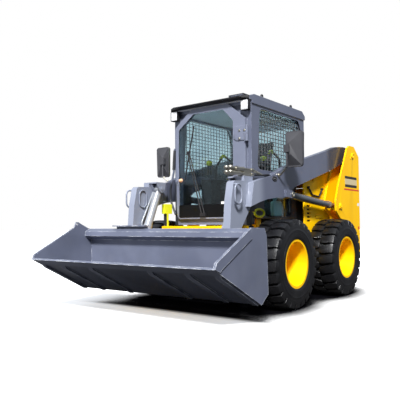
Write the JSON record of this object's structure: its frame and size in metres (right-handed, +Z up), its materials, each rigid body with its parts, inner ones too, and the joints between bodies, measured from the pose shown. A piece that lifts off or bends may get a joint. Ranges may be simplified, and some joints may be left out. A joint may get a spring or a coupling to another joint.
{
  "type": "skid steer loader",
  "caption": "Wheeled compact loader with lift arms pivoted at rear towers, a wide tilting bucket, an enclosed cab and deep dished wheels.",
  "frame": {"origin": "on the ground, under the middle of the length and width of the parked machine", "axes": "+X to the machine's left, +Y to the rear, +Z up; the bucket is at -Y"},
  "size_m": [2.054, 3.503, 2.066],
  "materials": {
    "yellow_paint": "satin gloss, light wear at edges",
    "slate_paint": "satin, scuffed on the bucket",
    "cylinder_paint": "satin gloss",
    "chromed_rod": "polished",
    "tyre_rubber": "matt",
    "black_plastic": "satin",
    "tinted_glass": "clear with a teal tint",
    "dark_steel": "satin",
    "seat_vinyl": "grained",
    "lamp_shell": "clear lens over a reflector",
    "zinc_fitting": "dull zinc"
  },
  "bodies": {
    "chassis": {"main_frame": "yellow_paint", "front_step": "yellow_paint", "engine_block": "dark_steel", "engine_sides": "yellow_paint", "side_hoses": "black_plastic", "counterweight": "yellow_paint", "tower_left": "yellow_paint", "tower_right": "yellow_paint"},
    "wheel_front_left": {"tyre_front_left": "tyre_rubber", "rim_front_left": "yellow_paint"},
    "wheel_rear_left": {"tyre_rear_left": "tyre_rubber", "rim_rear_left": "yellow_paint"},
    "wheel_front_right": {"tyre_front_right": "tyre_rubber", "rim_front_right": "yellow_paint"},
    "wheel_rear_right": {"tyre_rear_right": "tyre_rubber", "rim_rear_right": "yellow_paint"},
    "lift_arms": {"arm_left": "slate_paint", "arm_right": "slate_paint", "cross_tube": "slate_paint", "mirrors": "black_plastic", "aux_couplers": "zinc_fitting"},
    "lift_tube_left": {"lift_barrel_left": "cylinder_paint"},
    "lift_piston_left": {"lift_rod_left": "chromed_rod"},
    "tilt_tube_left": {"tilt_barrel_left": "cylinder_paint"},
    "tilt_piston_left": {"tilt_rod_left": "chromed_rod"},
    "lift_tube_right": {"lift_barrel_right": "cylinder_paint"},
    "lift_piston_right": {"lift_rod_right": "chromed_rod"},
    "tilt_tube_right": {"tilt_barrel_right": "cylinder_paint"},
    "tilt_piston_right": {"tilt_rod_right": "chromed_rod"},
    "bucket_carrier": {"coupler": "slate_paint", "bucket": "slate_paint"},
    "cab": {"cab_front": "slate_paint", "cab_rear": "slate_paint", "cab_side_left": "slate_paint", "cab_side_right": "slate_paint", "cab_floor": "dark_steel", "cab_roof": "slate_paint", "cab_glass": "tinted_glass", "window_guards": "dark_steel", "visor": "black_plastic", "work_lamps": "lamp_shell", "seat_base": "black_plastic", "seat_pads": "seat_vinyl", "consoles": "black_plastic"},
    "cab_door": {"door_frame": "slate_paint", "door_glass": "tinted_glass", "wiper": "black_plastic"},
    "engine_hood": {"hood": "yellow_paint"},
    "engine_door": {"rear_door": "yellow_paint"}
  },
  "joints": [
    {"name": "front_left_wheel_roll", "type": "hinge", "parent": "chassis", "child": "wheel_front_left", "pos_m": [0.74, -0.2795, 0.412], "axis": [1, 0, 0], "continuous": true},
    {"name": "rear_left_wheel_roll", "type": "hinge", "parent": "chassis", "child": "wheel_rear_left", "pos_m": [0.74, 0.8905, 0.412], "axis": [1, 0, 0], "continuous": true},
    {"name": "front_right_wheel_roll", "type": "hinge", "parent": "chassis", "child": "wheel_front_right", "pos_m": [-0.74, -0.2795, 0.412], "axis": [1, 0, 0], "continuous": true},
    {"name": "rear_right_wheel_roll", "type": "hinge", "parent": "chassis", "child": "wheel_rear_right", "pos_m": [-0.74, 0.8905, 0.412], "axis": [1, 0, 0], "continuous": true},
    {"name": "lift_arms_raise", "type": "hinge", "parent": "chassis", "child": "lift_arms", "pos_m": [0, 1.5055, 1.585], "axis": [-1, 0, 0], "range_deg": [0, 67]},
    {"name": "bucket_tilt", "type": "hinge", "parent": "lift_arms", "child": "bucket_carrier", "pos_m": [0, -0.9395, 0.235], "axis": [-1, 0, 0], "range_deg": [-136, 0]},
    {"name": "lift_cylinder_left_swing", "type": "hinge", "parent": "lift_arms", "child": "lift_tube_left", "pos_m": [0.648, 0.0205, 1.062], "axis": [-1, 0, 0], "range_deg": [-2.6, 0]},
    {"name": "lift_cylinder_left_stroke", "type": "slide", "parent": "lift_tube_left", "child": "lift_piston_left", "axis": [0, 0.9967, -0.0815], "range_m": [0, 0.8005]},
    {"name": "tilt_cylinder_left_swing", "type": "hinge", "parent": "lift_arms", "child": "tilt_tube_left", "pos_m": [0.474, -0.6395, 1.14], "axis": [-1, 0, 0], "range_deg": [-1.18, 0]},
    {"name": "tilt_cylinder_left_stroke", "type": "slide", "parent": "tilt_tube_left", "child": "tilt_piston_left", "axis": [0, -0.3992, -0.9169], "range_m": [0, 0.3744]},
    {"name": "lift_cylinder_right_swing", "type": "hinge", "parent": "lift_arms", "child": "lift_tube_right", "pos_m": [-0.648, 0.0205, 1.062], "axis": [-1, 0, 0], "range_deg": [-2.6, 0]},
    {"name": "lift_cylinder_right_stroke", "type": "slide", "parent": "lift_tube_right", "child": "lift_piston_right", "axis": [0, 0.9967, -0.0815], "range_m": [0, 0.8005]},
    {"name": "tilt_cylinder_right_swing", "type": "hinge", "parent": "lift_arms", "child": "tilt_tube_right", "pos_m": [-0.474, -0.6395, 1.14], "axis": [-1, 0, 0], "range_deg": [-1.18, 0]},
    {"name": "tilt_cylinder_right_stroke", "type": "slide", "parent": "tilt_tube_right", "child": "tilt_piston_right", "axis": [0, -0.3992, -0.9169], "range_m": [0, 0.3744]},
    {"name": "cab_tilt", "type": "hinge", "parent": "chassis", "child": "cab", "pos_m": [0, 0.7055, 1.3], "axis": [1, 0, 0], "range_deg": [-45, 0]},
    {"name": "cab_door_swing", "type": "hinge", "parent": "cab", "child": "cab_door", "pos_m": [0.455, -0.4315, 1.335], "axis": [0, 0, 1], "range_deg": [0, 75]},
    {"name": "hood_lift", "type": "hinge", "parent": "chassis", "child": "engine_hood", "pos_m": [0, 0.7655, 1.288], "axis": [1, 0, 0], "range_deg": [0, 60]},
    {"name": "rear_door_swing", "type": "hinge", "parent": "chassis", "child": "engine_door", "pos_m": [-0.561, 1.7375, 0.885], "axis": [0, 0, 1], "range_deg": [0, 110]}
  ],
  "couplings": [
    {"joint": "rear_left_wheel_roll", "follows": "front_left_wheel_roll", "ratio": 1},
    {"joint": "rear_right_wheel_roll", "follows": "front_right_wheel_roll", "ratio": 1},
    {"joint": "lift_cylinder_left_swing", "follows": "lift_arms_raise", "ratio": -0.037891},
    {"joint": "lift_cylinder_left_stroke", "follows": "lift_arms_raise", "m_per_rad": 0.68112},
    {"joint": "tilt_cylinder_left_swing", "follows": "bucket_tilt", "ratio": 0.0084345},
    {"joint": "tilt_cylinder_left_stroke", "follows": "bucket_tilt", "m_per_rad": -0.15605},
    {"joint": "lift_cylinder_right_swing", "follows": "lift_arms_raise", "ratio": -0.037891},
    {"joint": "lift_cylinder_right_stroke", "follows": "lift_arms_raise", "m_per_rad": 0.68112},
    {"joint": "tilt_cylinder_right_swing", "follows": "bucket_tilt", "ratio": 0.0084345},
    {"joint": "tilt_cylinder_right_stroke", "follows": "bucket_tilt", "m_per_rad": -0.15605}
  ]
}
